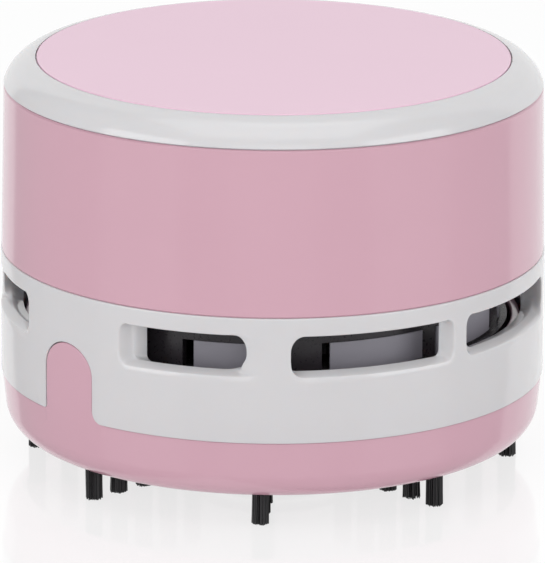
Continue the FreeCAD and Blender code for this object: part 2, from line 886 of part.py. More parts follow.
def make_battery_tray():
    end = bay_half_length
    outer_end = end + bay_end_wall
    bore = cell_radius + trough_clearance
    rim = cell_height + trough_rim_height
    solids = []
    cuts = []
    for side in (-1, 1):
        near, far = sorted((side * trough_inner_side, side * trough_outer_side))
        solids.append(box(-end, end, near, far, vent_band_top, rim))
        cuts.append(along_x(bore, -end, end, side * cell_offset, cell_height))
        cuts.append(box(-end, end, side * cell_offset - bore, side * cell_offset + bore,
                        cell_height, rim))
    wall_plate = box(end, outer_end, -trough_outer_side, trough_outer_side,
                     vent_band_top, end_wall_top)
    bridge = box(bridge_inner_end, end, -trough_inner_side, trough_inner_side,
                 vent_band_top, vent_band_top + bridge_thickness)
    tray = all_of(solids).cut(cuts)
    tray = tray.fuse(both_sides(wall_plate) + both_sides(bridge))
    holes = [cylinder(screw_clear_radius, vent_band_top, vent_band_top + bridge_thickness, x)
             for x in (-strap_screw_offset, strap_screw_offset)]
    return tray.cut(holes + [make_link_contact()]).removeSplitter()


def make_cell():
    """The cell at −Y, with its positive end towards +X."""
    start = contact_thickness + spring_length - bay_half_length
    shoulder = start + cell_length - cell_nub_length
    can = along_x(cell_radius, start, shoulder, -cell_offset, cell_height)
    tip = along_x(cell_nub_radius, shoulder, start + cell_length, -cell_offset, cell_height)
    return can.fuse(tip)


def contact_plate(y_low, y_high):
    end = bay_half_length
    return box(end - contact_thickness, end, y_low, y_high, contact_low, contact_top)


def make_positive_contact():
    return contact_plate(-cell_offset - contact_half_width, -cell_offset + contact_half_width)


def make_negative_contact():
    return contact_plate(cell_offset - contact_half_width, cell_offset + contact_half_width)


def make_link_contact():
    reach = cell_offset + contact_half_width
    return turned(contact_plate(-reach, reach), half_turn)


def make_springs():
    """Plain sleeves in the places of the two cell springs."""
    high = bay_half_length - contact_thickness
    low = high - spring_length
    coil = along_x(spring_radius, low, high, cell_offset, cell_height)
    core = along_x(spring_bore_radius, low, high, cell_offset, cell_height)
    return group(both_sides(coil.cut(core)))


def make_switch_body():
    half = switch_body_half_width
    tall = switch_body_half_height
    body = box(-half, half, switch_body_inner, switch_pad_inner,
               switch_height - tall, switch_height + tall)
    slot_reach = stem_half_width + stem_slot_clearance + knob_travel / 2
    slot_half = stem_half_height + stem_slot_clearance
    slot = box(-slot_reach, slot_reach, stem_inner_offset - stem_slot_clearance, switch_pad_inner,
               switch_height - slot_half, switch_height + slot_half)
    return body.cut(slot)


def make_switch_tabs():
    low = switch_tab_offset
    high = low + switch_tab_thickness
    tall = switch_tab_half_height
    tab = box(low, high, switch_tab_inner, switch_body_inner,
              switch_height - tall, switch_height + tall)
    return group([tab, tab.mirror(vec(0, 0, 0), vec(1, 0, 0))])


def make_switch_knob():
    """The slider at its off end, half its travel towards −X."""
    off = -knob_travel / 2
    low = knob_low_offset
    half = knob_half_width
    tall = knob_half_height
    plate = box(off - half, off + half, low, knob_face_offset,
                switch_height - tall, switch_height + tall)
    stem = box(off - stem_half_width, off + stem_half_width, stem_inner_offset, low,
               switch_height - stem_half_height, switch_height + stem_half_height)
    grooves = []
    for step in range(knob_rib_count):
        middle = off + (step - (knob_rib_count - 1) / 2) * knob_rib_spacing
        grooves.append(box(middle - knob_rib_width / 2, middle + knob_rib_width / 2,
                           knob_face_offset - knob_rib_depth, knob_face_offset + overrun,
                           switch_height - tall, switch_height + tall))
    return plate.fuse(stem).cut(grooves).removeSplitter()


def lead(name, points):
    """A wire of straight runs joined by tangent arcs, as large as the runs allow."""
    edges = []
    length = 0
    radii = []
    at = points[0]
    for before, corner, after in zip(points, points[1:], points[2:]):
        come = (corner - before).normalize()
        go = (after - corner).normalize()
        turn = come.getAngle(go)
        trim = bend_share * min((corner - before).Length, (after - corner).Length)
        radius = trim / math.tan(turn / 2)
        start = corner - come * trim
        end = corner + go * trim
        inward = (go - come).normalize()
        middle = corner + inward * (radius / math.cos(turn / 2) - radius)
        edges.append(Part.makeLine(at, start))
        edges.append(Part.Arc(start, middle, end).toShape())
        length += (start - at).Length + radius * turn
        radii.append(round(radius, 1))
        at = end
    edges.append(Part.makeLine(at, points[-1]))
    length += (points[-1] - at).Length
    path = Part.Wire(edges)
    first = (points[1] - points[0]).normalize()
    section = Part.Wire(Part.Circle(points[0], first, lead_radius).toShape())
    tube = path.makePipeShell([section], True, True)
    expected = math.pi * lead_radius ** 2 * length
    print(name, "radii", radii, "length", round(length, 1), "volume share",
          round(tube.Volume / expected, 4))
    return tube


def make_battery_lead():
    """From the positive contact, round the cells, to the switch."""
    start = bay_half_length - contact_thickness / 2
    end = switch_tab_offset + switch_tab_thickness
    points = [
        vec(start, -cell_offset, contact_top),
        vec(start, -cell_offset, 52.5),
        vec(28.3, -14.2, 56.0),
        vec(30.8, -7.5, 57.6),
        vec(32.8, 2.0, 57.4),
        vec(31.2, 11.5, 56.0),
        vec(26.6, 20.0, 53.2),
        vec(19.0, 27.6, 50.2),
        vec(10.5, switch_solder_offset, switch_height),
        vec(end, switch_solder_offset, switch_height),
    ]
    return lead("battery_lead", points)


def make_switch_lead():
    """From the switch to the motor's near terminal."""
    start = -switch_tab_offset - switch_tab_thickness
    points = [
        vec(start, switch_solder_offset, switch_height),
        vec(-9.0, switch_solder_offset, switch_height),
        vec(-14.2, 28.6, 50.0),
        vec(-16.0, 22.0, 53.0),
        vec(-14.5, 14.6, 56.0),
        vec(-10.8, 8.4, 57.5),
        vec(-6.4, motor_tab_offset, motor_solder_height),
        vec(-motor_tab_half_width, motor_tab_offset, motor_solder_height),
    ]
    return lead("switch_lead", points)


def make_return_lead():
    """From the negative contact to the motor's far terminal."""
    start = bay_half_length - contact_thickness / 2
    edge = cell_offset - contact_half_width / 2
    points = [
        vec(start, edge, contact_top),
        vec(start, edge, 52.2),
        vec(25.8, 11.6, 55.3),
        vec(22.6, 5.0, 57.0),
        vec(18.6, -2.8, 57.6),
        vec(12.6, -6.6, 58.0),
        vec(6.8, -motor_tab_offset, motor_solder_height),
        vec(motor_tab_half_width, -motor_tab_offset, motor_solder_height),
    ]
    return lead("return_lead", points)


def make_shoulder_ring():
    seat = disc_radius + disc_gap
    disc_seat = overall_height - disc_thickness
    web_low = disc_seat - cap_web_thickness
    lip_top = overall_height - shoulder_top_drop
    skirt_outer = upper_top_radius - wall - skirt_clearance
    skirt_inner = skirt_outer - skirt_thickness
    curve = Part.Arc(
        vec(upper_top_radius, 0, cap_line_height + edge_break),
        vec(upper_top_radius - shoulder_mid_inset, 0, cap_line_height + shoulder_mid_rise),
        vec(seat, 0, lip_top),
    ).toShape()
    start = profile([
        (upper_top_radius - edge_break, cap_line_height),
        (upper_top_radius, cap_line_height + edge_break),
    ])
    rest = profile([
        (seat, lip_top),
        (seat, disc_seat),
        (0, disc_seat),
        (0, web_low),
        (skirt_inner, web_low),
        (skirt_inner, cap_line_height - skirt_depth),
        (skirt_outer, cap_line_height - skirt_depth),
        (skirt_outer, cap_line_height),
        (upper_top_radius - edge_break, cap_line_height),
    ])
    return spun(lines(start) + [curve] + lines(rest))


def make_top_disc():
    low = overall_height - disc_thickness
    top = overall_height
    outline = profile([
        (0, low),
        (disc_radius, low),
        (disc_radius, top - disc_edge_break),
        (disc_radius - disc_edge_break, top),
        (0, top),
        (0, low),
    ])
    return spun(lines(outline))


os.makedirs("parts", exist_ok=True)
save("dust_tray", make_dust_tray())
save("intake_nozzle", make_nozzle())
save("bristle_tufts", make_tufts())
save("right_latch_tongue", make_tongue())
save("left_latch_tongue", turned(make_tongue(), half_turn))
save("vent_housing", make_vent_housing())
save("upper_housing", make_upper_housing())
save("motor_deck", make_motor_deck())
save("fan_cage", make_fan_cage())
save("exhaust_screens", make_exhaust_screens())
save("filter_disc", make_filter_disc())
save("filter_frame", make_filter_frame())
save("housing_screws", make_housing_screws())
save("cage_screws", make_cage_screws())
save("impeller", make_impeller())
save("motor_shaft", make_shaft())
save("motor_armature", make_armature())
save("commutator", make_commutator())
save("motor_can", make_motor_can())
save("motor_magnets", make_magnets())
save("motor_end_cap", make_end_cap())
save("motor_terminals", make_motor_tabs())
save("motor_retainer", make_retainer())
save("retainer_screws", make_retainer_screws())
save("battery_tray", make_battery_tray())
save("front_battery", make_cell())
save("rear_battery", turned(make_cell(), half_turn))
save("positive_contact", make_positive_contact())
save("negative_contact", make_negative_contact())
save("link_contact", make_link_contact())
save("battery_springs", make_springs())
save("battery_lead", make_battery_lead())
save("switch_lead", make_switch_lead())
save("return_lead", make_return_lead())
save("switch_body", make_switch_body())
save("switch_terminals", make_switch_tabs())
save("switch_knob", make_switch_knob())
save("shoulder_ring", make_shoulder_ring())
save("top_disc", make_top_disc())
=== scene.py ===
import math
import bmesh
import bpy
import numpy as np
from mathutils import Matrix, Vector


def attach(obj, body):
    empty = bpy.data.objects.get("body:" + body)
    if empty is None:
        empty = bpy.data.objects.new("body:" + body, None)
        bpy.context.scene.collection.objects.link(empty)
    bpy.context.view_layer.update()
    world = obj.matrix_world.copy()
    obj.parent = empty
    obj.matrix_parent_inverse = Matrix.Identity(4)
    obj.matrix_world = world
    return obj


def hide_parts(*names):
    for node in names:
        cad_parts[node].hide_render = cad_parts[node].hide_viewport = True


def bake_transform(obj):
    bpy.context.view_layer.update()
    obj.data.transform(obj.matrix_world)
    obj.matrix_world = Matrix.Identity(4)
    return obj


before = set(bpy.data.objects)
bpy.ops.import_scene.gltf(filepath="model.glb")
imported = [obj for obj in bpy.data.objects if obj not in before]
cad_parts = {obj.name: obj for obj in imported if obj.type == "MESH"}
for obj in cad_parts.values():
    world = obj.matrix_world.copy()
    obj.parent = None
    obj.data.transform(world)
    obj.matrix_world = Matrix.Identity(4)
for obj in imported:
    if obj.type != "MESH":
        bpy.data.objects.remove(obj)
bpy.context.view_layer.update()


# Camera. The object stands about a metre away and fills the picture, seen from a little above
# and a little to the front of one latch tongue. The picture leans by a third of a degree.
mm = 0.001
camera_azimuth = math.radians(-42.5)
camera_elevation = math.radians(16.0)
camera_lean = math.radians(0.335)
camera_distance = 1010.9 * mm
look_height = 27.15 * mm
lens_length = 421.3
sensor_size = 36.0

side = Vector((math.cos(camera_azimuth), math.sin(camera_azimuth), 0.0))
level = math.cos(camera_elevation)
back = Vector((math.sin(camera_azimuth) * level, -math.cos(camera_azimuth) * level,
               math.sin(camera_elevation)))
above = back.cross(side)
right = math.cos(camera_lean) * side + math.sin(camera_lean) * above
camera_data = bpy.data.cameras.new("camera")
camera_data.lens = lens_length
camera_data.sensor_width = sensor_size
camera_data.clip_end = 20.0
camera = bpy.data.objects.new("camera", camera_data)
bpy.context.scene.collection.objects.link(camera)
place = Vector((0.0, 0.0, look_height)) + camera_distance * back
turn = Matrix((right, back.cross(right), back)).transposed().to_4x4()
camera.matrix_world = Matrix.Translation(place) @ turn
bpy.context.scene.camera = camera


# Dust tray. One pink ABS moulding: the tapered base ring, the floor and the inner cup wall.
# It is glossy from a polished mould, with the faint waviness that such a skin always has.
base_rim = 5.1
base_line = 14.05
base_radius = 41.45
rim_radius = 38.4
rim_land = 0.6
rim_bevel = 1.1
base_bend = (40.15, 6.7)
base_turn = (40.95, 9.0)
ring_inner = 39.5
cup_outer = 38.0
cup_inner = 36.6
cup_top = 22.8
floor_low = 5.6
floor_high = 7.4
floor_hole = 11.0
ring_trough = 8.9
crisp_edge = 0.12
turn_steps = 240
drift_size = 18.0
milk_reach = 1.5
noise_low = 0.3
noise_high = 0.7
weld_gap = 0.002
sliver = 0.0005


def linear(code):
    """Linear colour of an sRGB hex value: c / 12.92 up to 0.04045, else ((c + 0.055) / 1.055) ** 2.4."""
    shades = [int(code[at:at + 2], 16) / 255 for at in (0, 2, 4)]
    return tuple(c / 12.92 if c <= 0.04045 else ((c + 0.055) / 1.055) ** 2.4 for c in shades) + (1.0,)


def add(tree, kind, inputs, **settings):
    """Adds a node with its settings. Each input gets a number, a colour or another node's socket."""
    node = tree.nodes.new(kind)
    for name, value in settings.items():
        setattr(node, name, value)
    for name, value in inputs.items():
        if isinstance(value, bpy.types.NodeSocket):
            tree.links.new(value, node.inputs[name])
        else:
            node.inputs[name].default_value = value
    return node


def per(size):
    """Texture scale whose features are size millimetres wide: 1 / size in metres."""
    return 1.0 / (size * mm)


def new_material(name):
    """An empty material with its output, and the object's own coordinates in metres."""
    made = bpy.data.materials.new(name)
    made.use_nodes = True
    tree = made.node_tree
    tree.nodes.clear()
    where = add(tree, "ShaderNodeTexCoord", {}).outputs["Object"]
    out = add(tree, "ShaderNodeOutputMaterial", {})
    return made, tree, where, out


def moulded(name, shade, darker, rough, wave, grain, coat=0.0, milk=0.0):
    """Moulded plastic: a shade that drifts a little, and long waves and a fine grain in its skin,
    each given as (size, depth). The milk is the share of light that spreads inside it."""
    made, tree, where, out = new_material(name)
    drift = add(tree, "ShaderNodeTexNoise", {"Vector": where, "Scale": per(drift_size), "Detail": 2.0})
    colour = add(tree, "ShaderNodeMix", {"Factor": drift.outputs["Fac"]}, data_type="RGBA")
    colour.inputs[6].default_value = linear(shade)
    colour.inputs[7].default_value = linear(darker)
    waves = add(tree, "ShaderNodeTexNoise", {"Vector": where, "Scale": per(wave[0]), "Detail": 1.0})
    grains = add(tree, "ShaderNodeTexNoise", {"Vector": where, "Scale": per(grain[0]), "Detail": 3.0})
    polish = add(tree, "ShaderNodeMapRange", {
        "Value": grains.outputs["Fac"], "From Min": noise_low, "From Max": noise_high,
        "To Min": rough * 0.85, "To Max": rough * 1.15})
    long_bump = add(tree, "ShaderNodeBump", {
        "Height": waves.outputs["Fac"], "Strength": 1.0, "Distance": wave[1] * mm})
    fine_bump = add(tree, "ShaderNodeBump", {
        "Height": grains.outputs["Fac"], "Strength": 1.0, "Distance": grain[1] * mm,
        "Normal": long_bump.outputs["Normal"]})
    skin = add(tree, "ShaderNodeBsdfPrincipled", {
        "Base Color": colour.outputs[2], "Roughness": polish.outputs["Result"],
        "Normal": fine_bump.outputs["Normal"], "IOR": 1.5, "Coat Weight": coat, "Coat Roughness": 0.06,
        "Subsurface Weight": milk, "Subsurface Radius": (1.0, 0.8, 0.7),
        "Subsurface Scale": milk_reach * mm})
    tree.links.new(skin.outputs["BSDF"], out.inputs["Surface"])
    return made


def grid_faces(rows, columns, ring=False):
    """Quads of a grid numbered row by row: (r, c), (r, c + 1), (r + 1, c + 1), (r + 1, c)."""
    count = columns if ring else columns - 1
    row, column = np.meshgrid(np.arange(rows - 1), np.arange(count), indexing="ij")
    after = (column + 1) % columns
    near = row * columns
    far = near + columns
    quads = np.stack([near + column, near + after, far + after, far + column], axis=-1)
    return quads.reshape(-1, 4)


def surface(points, ring=False):
    """A grid of points, rows x columns x 3 in millimetres, as (points, faces)."""
    rows, columns = points.shape[:2]
    return points.reshape(-1, 3), grid_faces(rows, columns, ring)


def rounded(corners, radii, steps=5):
    """An outline with arcs in its corners. At a corner c with unit ways u and v to its neighbours,
    the arc's centre is c + (u + v) / |u + v| * r / sin(h) and it touches r / tan(h) along each way,
    where h is half the angle between u and v. A point beside each arc keeps the flats flat."""
    corners = np.asarray(corners, float)
    before = np.roll(corners, 1, axis=0)
    after = np.roll(corners, -1, axis=0)
    outline = []
    for c, b, a, r in zip(corners, before, after, radii):
        if r == 0:
            outline.append(c[None])
            continue
        u = (b - c) / np.linalg.norm(b - c)
        v = (a - c) / np.linalg.norm(a - c)
        half = math.acos(np.clip(u @ v, -1, 1)) / 2
        centre = c + (u + v) / np.linalg.norm(u + v) * r / math.sin(half)
        start = c + u * r / math.tan(half) - centre
        end = c + v * r / math.tan(half) - centre
        share = np.linspace(0, 1, steps + 1)[:, None]
        swing = math.pi - 2 * half
        arc = (np.sin((1 - share) * swing) * start + np.sin(share * swing) * end) / math.sin(swing)
        ease = r * 0.6
        outline.append(np.vstack([centre + start + u * ease, centre + arc, centre + end + v * ease]))
    return np.vstack(outline)


def arc_points(first, middle, last, steps):
    """Points of the circle through three points, from the first to the last. Its centre is where
    the lines that halve the two chords squarely meet."""
    (ax, ay), (bx, by), (cx, cy) = first, middle, last
    d = 2 * (ax * (by - cy) + bx * (cy - ay) + cx * (ay - by))
    a2, b2, c2 = ax * ax + ay * ay, bx * bx + by * by, cx * cx + cy * cy
    x = (a2 * (by - cy) + b2 * (cy - ay) + c2 * (ay - by)) / d
    y = (a2 * (cx - bx) + b2 * (ax - cx) + c2 * (bx - ax)) / d
    radius = math.hypot(ax - x, ay - y)
    start = math.atan2(ay - y, ax - x)
    swing = (math.atan2(cy - y, cx - x) - start + math.pi) % (2 * math.pi) - math.pi
    angle = start + np.linspace(0, 1, steps + 1) * swing
    return np.stack([x + radius * np.cos(angle), y + radius * np.sin(angle)], axis=-1)


def turned(outline, steps):
    """The outline (r, z) carried round the axis: (r cos a, r sin a, z)."""
    angle = np.linspace(0, 2 * math.pi, steps, endpoint=False)
    radius, height = outline[:, 0][:, None], outline[:, 1][:, None]
    grid = np.stack([radius * np.cos(angle), radius * np.sin(angle), height + 0 * angle], axis=-1)
    return surface(np.concatenate([grid, grid[:1]]), ring=True)


def make_piece(name, patches, material, crease=38.0):
    """One mesh from several patches in millimetres, welded where they meet, faces outwards."""
    points, faces, start = [], [], 0
    for patch_points, patch_faces in patches:
        points.append(patch_points)
        faces.extend((np.asarray(patch_faces) + start).tolist())
        start += len(patch_points)
    mesh = bpy.data.meshes.new(name)
    mesh.from_pydata((np.concatenate(points) * mm).tolist(), [], faces)
    work = bmesh.new()
    work.from_mesh(mesh)
    bmesh.ops.remove_doubles(work, verts=work.verts, dist=weld_gap * mm)
    bmesh.ops.dissolve_degenerate(work, edges=work.edges, dist=sliver * mm)
    bmesh.ops.recalc_face_normals(work, faces=work.faces)
    work.to_mesh(mesh)
    work.free()
    mesh.shade_smooth()
    mesh.set_sharp_from_angle(angle=math.radians(crease))
    mesh.materials.append(material)
    made = bpy.data.objects.new(name, mesh)
    bpy.context.scene.collection.objects.link(made)
    return made


pink_abs = moulded("polished_pink_abs", "D8ACBB", "D5A9B8", rough=0.16,
                   wave=(9.0, 0.004), grain=(0.7, 0.0012), coat=0.25)
base_curve = arc_points((rim_radius, base_rim), base_bend, base_turn, 18)
base_side = np.linspace(base_turn, (base_radius, base_line - crisp_edge), 10)[1:]
tray_rest = rounded(
    [(base_radius, base_line), (ring_inner, base_line), (ring_inner, ring_trough), (cup_outer, ring_trough),
     (cup_outer, cup_top), (cup_inner, cup_top), (cup_inner, floor_high), (floor_hole, floor_high),
     (floor_hole, floor_low), (rim_radius - rim_bevel, floor_low), (rim_radius - rim_land, base_rim)],
    [crisp_edge, 0.15, 0.3, 0.3, 0.3, 0.3, 0.5, 0.15, 0.15, 0.0, 0.0])
tray_outline = np.vstack([base_curve, base_side, tray_rest[1:]])
tray = make_piece("dust_tray_moulding", [turned(tray_outline, turn_steps)], pink_abs)
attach(tray, "tray")
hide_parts("dust_tray")


# Latch tongues. Two springy tongues grow out of the base ring without a joint, and each has a
# hook behind it that holds the tray up. One foot has a wide hollow fillet, the other a small one.
tongue_half = 5.15
tongue_crown = 25.4
crown_rise = 4.5
wide_fillet = 1.9
small_fillet = 0.45
tongue_root = 12.0
tongue_level = 18.0
tongue_radius = 41.55
tongue_back = 39.55
tongue_edge = 0.18
tongue_lift = 0.008
hook_low = 19.0
hook_high = 20.6
hook_bands = ((38.6, 39.6, 6.3), (38.55, 39.0, 9.5))


def base_skin(height):
    """Outer radius of the base ring at a height, and of the tongue above it, which moves out to its
    own radius R within a few millimetres: R - (R - ring) exp(-(z - line))."""
    ring = np.vstack([base_curve, base_side, [(base_radius, base_line)]])
    lower = np.interp(height, ring[:, 1], ring[:, 0]) + tongue_lift
    ease = tongue_radius - base_radius
    upper = tongue_radius - ease * np.exp(-np.maximum(height - base_line, 0)) + tongue_lift
    return np.where(height < base_line, lower, upper)


def foot_flare(height, fillet):
    """How far a hollow quarter round of the foot stands out at a height: f - sqrt(f f - d d),
    where d is the depth below its top."""
    drop = np.clip(base_line + fillet - height, 0, fillet)
    return fillet - np.sqrt(fillet ** 2 - drop ** 2)


def tongue_face(inset):
    """Grid of (y, z) over the tongue: level rows up to 18 mm, then rows that bend into the crown,
    which is half an ellipse: (half sin t, side top + rise cos t)."""
    half = tongue_half - inset
    share = np.linspace(-1, 1, 33)
    fillet = wide_fillet + inset
    level_rows = np.concatenate([
        np.linspace(tongue_root, base_line, 7), base_line + np.linspace(0, 1, 11)[1:] ** 1.6 * fillet,
        np.linspace(base_line + fillet, tongue_level, 4)[1:]])
    low = -half - foot_flare(level_rows, small_fillet + inset)
    high = half + foot_flare(level_rows, wide_fillet + inset)
    y = low[:, None] + (high - low)[:, None] * (share + 1) / 2
    z = level_rows[:, None] + 0 * share
    top_y = half * np.sin(share * math.pi / 2)
    top_z = tongue_crown - crown_rise + (crown_rise - inset) * np.cos(share * math.pi / 2)
    rise = np.linspace(0, 1, 15)[1:, None]
    y = np.vstack([y, y[-1] + (top_y - y[-1]) * rise])
    z = np.vstack([z, z[-1] + (top_z - z[-1]) * rise])
    return y, z


def border(grid):
    """Left side upwards, top, and right side downwards, as one row."""
    return np.concatenate([grid[:, 0], grid[-1, 1:-1], grid[::-1, -1]])


def on_skin(y, z, depth):
    """Points of the tongue at a depth under its skin: (sqrt(r r - y y), y, z)."""
    radius = base_skin(z) - depth
    return np.stack([np.sqrt(radius ** 2 - y ** 2), y, z], axis=-1)


def at_back(y, z):
    """Points of the tongue's back, a part of a cylinder: (sqrt(r r - y y), y, z)."""
    return np.stack([np.sqrt(tongue_back ** 2 - y ** 2), y, z], axis=-1)


def hook_block(inner, outer, half_angle):
    """A part of a hook: a block between two radii, spread over an angle either side of +X."""
    outline = np.array([(inner, hook_low), (outer, hook_low), (outer, hook_high), (inner, hook_high),
                        (inner, hook_low)])
    angle = np.radians(np.linspace(-half_angle, half_angle, 13))
    grid = np.stack([outline[:, :1] * np.cos(angle), outline[:, :1] * np.sin(angle),
                     outline[:, 1:] + 0 * angle], axis=-1)
    count = len(angle)
    ends = [[count * corner for corner in range(4)], [count * corner + count - 1 for corner in range(4)]]
    points, faces = surface(grid)
    return points, faces.tolist() + [ends[0][::-1], ends[1]]


def tongue_patches():
    """The tongue's face, its edge as a quarter round, (e sin b, e (1 - cos b)), its side walls, its
    back, its foot and its hook."""
    y, z = tongue_face(tongue_edge)
    patches = [surface(on_skin(y, z, 0.0)[:, ::-1])]
    edge_y, edge_z = border(y), border(z)
    way_y, way_z = np.gradient(edge_y), np.gradient(edge_z)
    size = np.hypot(way_y, way_z)
    out_y, out_z = -way_z / size, way_y / size
    bend = np.radians(np.linspace(0, 90, 6))[:, None]
    rim_y = edge_y + out_y * tongue_edge * np.sin(bend)
    rim_z = edge_z + out_z * tongue_edge * np.sin(bend)
    rim = on_skin(rim_y, rim_z, tongue_edge * (1 - np.cos(bend)))
    wall = at_back(rim_y[-1:], rim_z[-1:])
    patches.append(surface(np.concatenate([rim, wall])))
    full_y, full_z = tongue_face(0.0)
    full_y[:, 0], full_z[:, 0] = rim_y[-1, :len(y)], rim_z[-1, :len(y)]
    top = slice(len(y) - 1, -len(y) + 1)
    full_y[-1], full_z[-1] = rim_y[-1, top], rim_z[-1, top]
    full_y[:, -1], full_z[:, -1] = rim_y[-1, -len(y):][::-1], rim_z[-1, -len(y):][::-1]
    patches.append(surface(at_back(full_y, full_z)))
    foot = np.stack([on_skin(y, z, 0.0)[0], at_back(full_y, full_z)[0]])
    patches.append(surface(foot))
    return patches + [hook_block(*band) for band in hook_bands]


def half_turned(patches):
    """The patches turned by half a turn about the axis: (-x, -y, z)."""
    return [(points * (-1, -1, 1), faces) for points, faces in patches]


for name, body, patches in (("right_tongue_moulding", "right_latch", tongue_patches()),
                            ("left_tongue_moulding", "left_latch", half_turned(tongue_patches()))):
    tongue = make_piece(name, patches, pink_abs)
    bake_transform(tongue)
    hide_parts(body + "_tongue")


# Suction nozzle. A white ABS mouth in the middle of the floor, with a flange below and a short
# chimney above that keeps the dust from falling back. White ABS is glossy and a little milky.
nozzle_bore = 9.5
nozzle_wall = 10.9
nozzle_flange = 12.0
nozzle_low = 4.9
nozzle_high = 15.0

white_abs = moulded("polished_white_abs", "DCDBDD", "D9D8DA", rough=0.15,
                    wave=(9.0, 0.004), grain=(0.7, 0.0012), coat=0.25, milk=0.4)
nozzle_outline = rounded(
    [(nozzle_bore, nozzle_low), (nozzle_flange, nozzle_low), (nozzle_flange, floor_low),
     (nozzle_wall, floor_low), (nozzle_wall, nozzle_high), (nozzle_bore, nozzle_high)],
    [0.3, 0.25, 0.0, 0.0, 0.3, 0.3])
nozzle = make_piece("nozzle_moulding", [turned(nozzle_outline, 120)], white_abs)
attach(nozzle, "tray")
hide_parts("intake_nozzle")


# Bristle tufts. Forty round bundles of black nylon bristle, set in sockets in the floor along
# eight spokes and cut off flat. The hairs stand close together and lean a little.
spokes = 8
tufts_per_spoke = 5
outer_tuft = 36.3
inner_tuft = 16.3
tuft_half = 1.36
hair_half = 0.12
hairs_per_tuft = 84
hair_top = 6.0
hair_levels = 4
hair_spread = (-0.02, 0.07)
hair_stray = 0.035
tuft_stray = 0.05
hair_short = 0.16
hair_streak = 0.28
golden_turn = math.pi * (3 - math.sqrt(5))


def bristles():
    """Hair h of a tuft starts at sqrt(h / n) of the tuft's radius, a golden turn on from the last.
    Its line leans outwards by a share of that radius and has a small bow of its own."""
    random = np.random.default_rng(7)
    spoke, step = np.meshgrid(np.arange(spokes), np.arange(tufts_per_spoke), indexing="ij")
    reach = outer_tuft - step * (outer_tuft - inner_tuft) / (tufts_per_spoke - 1)
    angle = spoke * 2 * math.pi / spokes
    tuft = np.stack([reach * np.cos(angle), reach * np.sin(angle)], axis=-1).reshape(-1, 1, 2)
    hair = np.arange(hairs_per_tuft)
    spread = (tuft_half - hair_half) * np.sqrt((hair + 0.5) / hairs_per_tuft)
    turn = hair * golden_turn + random.uniform(0, 2 * math.pi, (len(tuft), 1))
    root = np.stack([spread * np.cos(turn), spread * np.sin(turn)], axis=-1)
    lean = root * random.uniform(*hair_spread, (len(tuft), hairs_per_tuft, 1))
    lean += random.normal(0, hair_stray, (len(tuft), hairs_per_tuft, 2))
    lean += random.normal(0, tuft_stray, (len(tuft), 1, 2))
    tip = random.uniform(0.0, hair_short, (len(tuft), hairs_per_tuft, 1))
    level = np.linspace(0, 1, hair_levels)
    height = hair_top + (tip - hair_top) * level
    centre = (tuft + root)[:, :, None] + lean[:, :, None] * level[:, None] ** 2
    corner = np.arange(3) * 2 * math.pi / 3
    twist = random.uniform(0, 2 * math.pi, (len(tuft), hairs_per_tuft, 1, 1))
    ring = hair_half * np.stack([np.cos(corner + twist), np.sin(corner + twist)], axis=-1)
    flat = centre[:, :, :, None] + ring
    level_height = np.broadcast_to(height[..., None, None], flat.shape[:-1] + (1,))
    points = np.concatenate([flat, level_height], axis=-1)
    per_hair = hair_levels * 3
    side_faces = grid_faces(hair_levels, 3, ring=True)
    offset = np.arange(points.shape[0] * points.shape[1])[:, None, None] * per_hair
    sides = (side_faces[None] + offset).reshape(-1, 4).tolist()
    tips = (np.array([per_hair - 1, per_hair - 2, per_hair - 3])[None] + offset[:, :, 0]).tolist()
    heads = (np.array([0, 1, 2])[None] + offset[:, :, 0]).tolist()
    return points.reshape(-1, 3), sides + tips + heads


def nylon():
    """Black nylon bristle: dark and satin, each hair a little lighter or darker than the next."""
    made, tree, where, out = new_material("black_nylon_bristle")
    streak = add(tree, "ShaderNodeMapping", {"Vector": where, "Scale": (1.0, 1.0, 0.05)})
    hairs = add(tree, "ShaderNodeTexNoise", {
        "Vector": streak.outputs["Vector"], "Scale": per(hair_streak), "Detail": 2.0})
    colour = add(tree, "ShaderNodeMix", {"Factor": hairs.outputs["Fac"]}, data_type="RGBA")
    colour.inputs[6].default_value = linear("1A1A1B")
    colour.inputs[7].default_value = linear("3E3E40")
    skin = add(tree, "ShaderNodeBsdfPrincipled", {
        "Base Color": colour.outputs[2], "Roughness": 0.42, "IOR": 1.53, "Specular IOR Level": 0.35})
    tree.links.new(skin.outputs["BSDF"], out.inputs["Surface"])
    return made


hair_points, hair_faces = bristles()
hair_mesh = bpy.data.meshes.new("bristle_hairs")
hair_mesh.from_pydata((hair_points * mm).tolist(), [], hair_faces)
hair_mesh.materials.append(nylon())
hairs = bpy.data.objects.new("bristle_hairs", hair_mesh)
bpy.context.scene.collection.objects.link(hairs)
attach(hairs, "tray")
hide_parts("bristle_tufts")


# Vent housing. A white ABS band between the tray and the pink housing, moulded with slides that
# pull along X and Y and leave eight slots, each with a dished lead-in at one end. Arches in its
# lower edge make way for the tongues.
band_radius = 41.6
band_inner = 39.6
band_low = 14.05
band_high = 33.3
band_edge = 0.22
belt_radius = 38.2
belt_low = 23.5
belt_high = 31.8
sill_rise = 0.7
sill_drop = 0.55
edge_fillet = 0.3
throat_radius = 39.9
relief_radius = 39.7
relief_ends = (4.3, 7.5)
notch_gap = 0.15
patch_ends = (0.0, 40.9, 80.0, 90.0)
near_lip_corners = ((1.5, 2.05), (1.5, 2.05))
near_throat_corners = ((0.9, 1.0), (0.3, 0.4))
long_slot = {"pull": 1, "low": 24.82, "high": 30.47, "roll": 0.0,
             "near_lip": 1.13, "near_throat": 2.87, "near_back": 2.4, "far": 25.85, "far_lip": 26.15,
             "far_lip_corners": ((1.9, 2.2), (1.9, 2.7)), "far_corners": ((1.6, 1.9), (1.6, 2.4))}
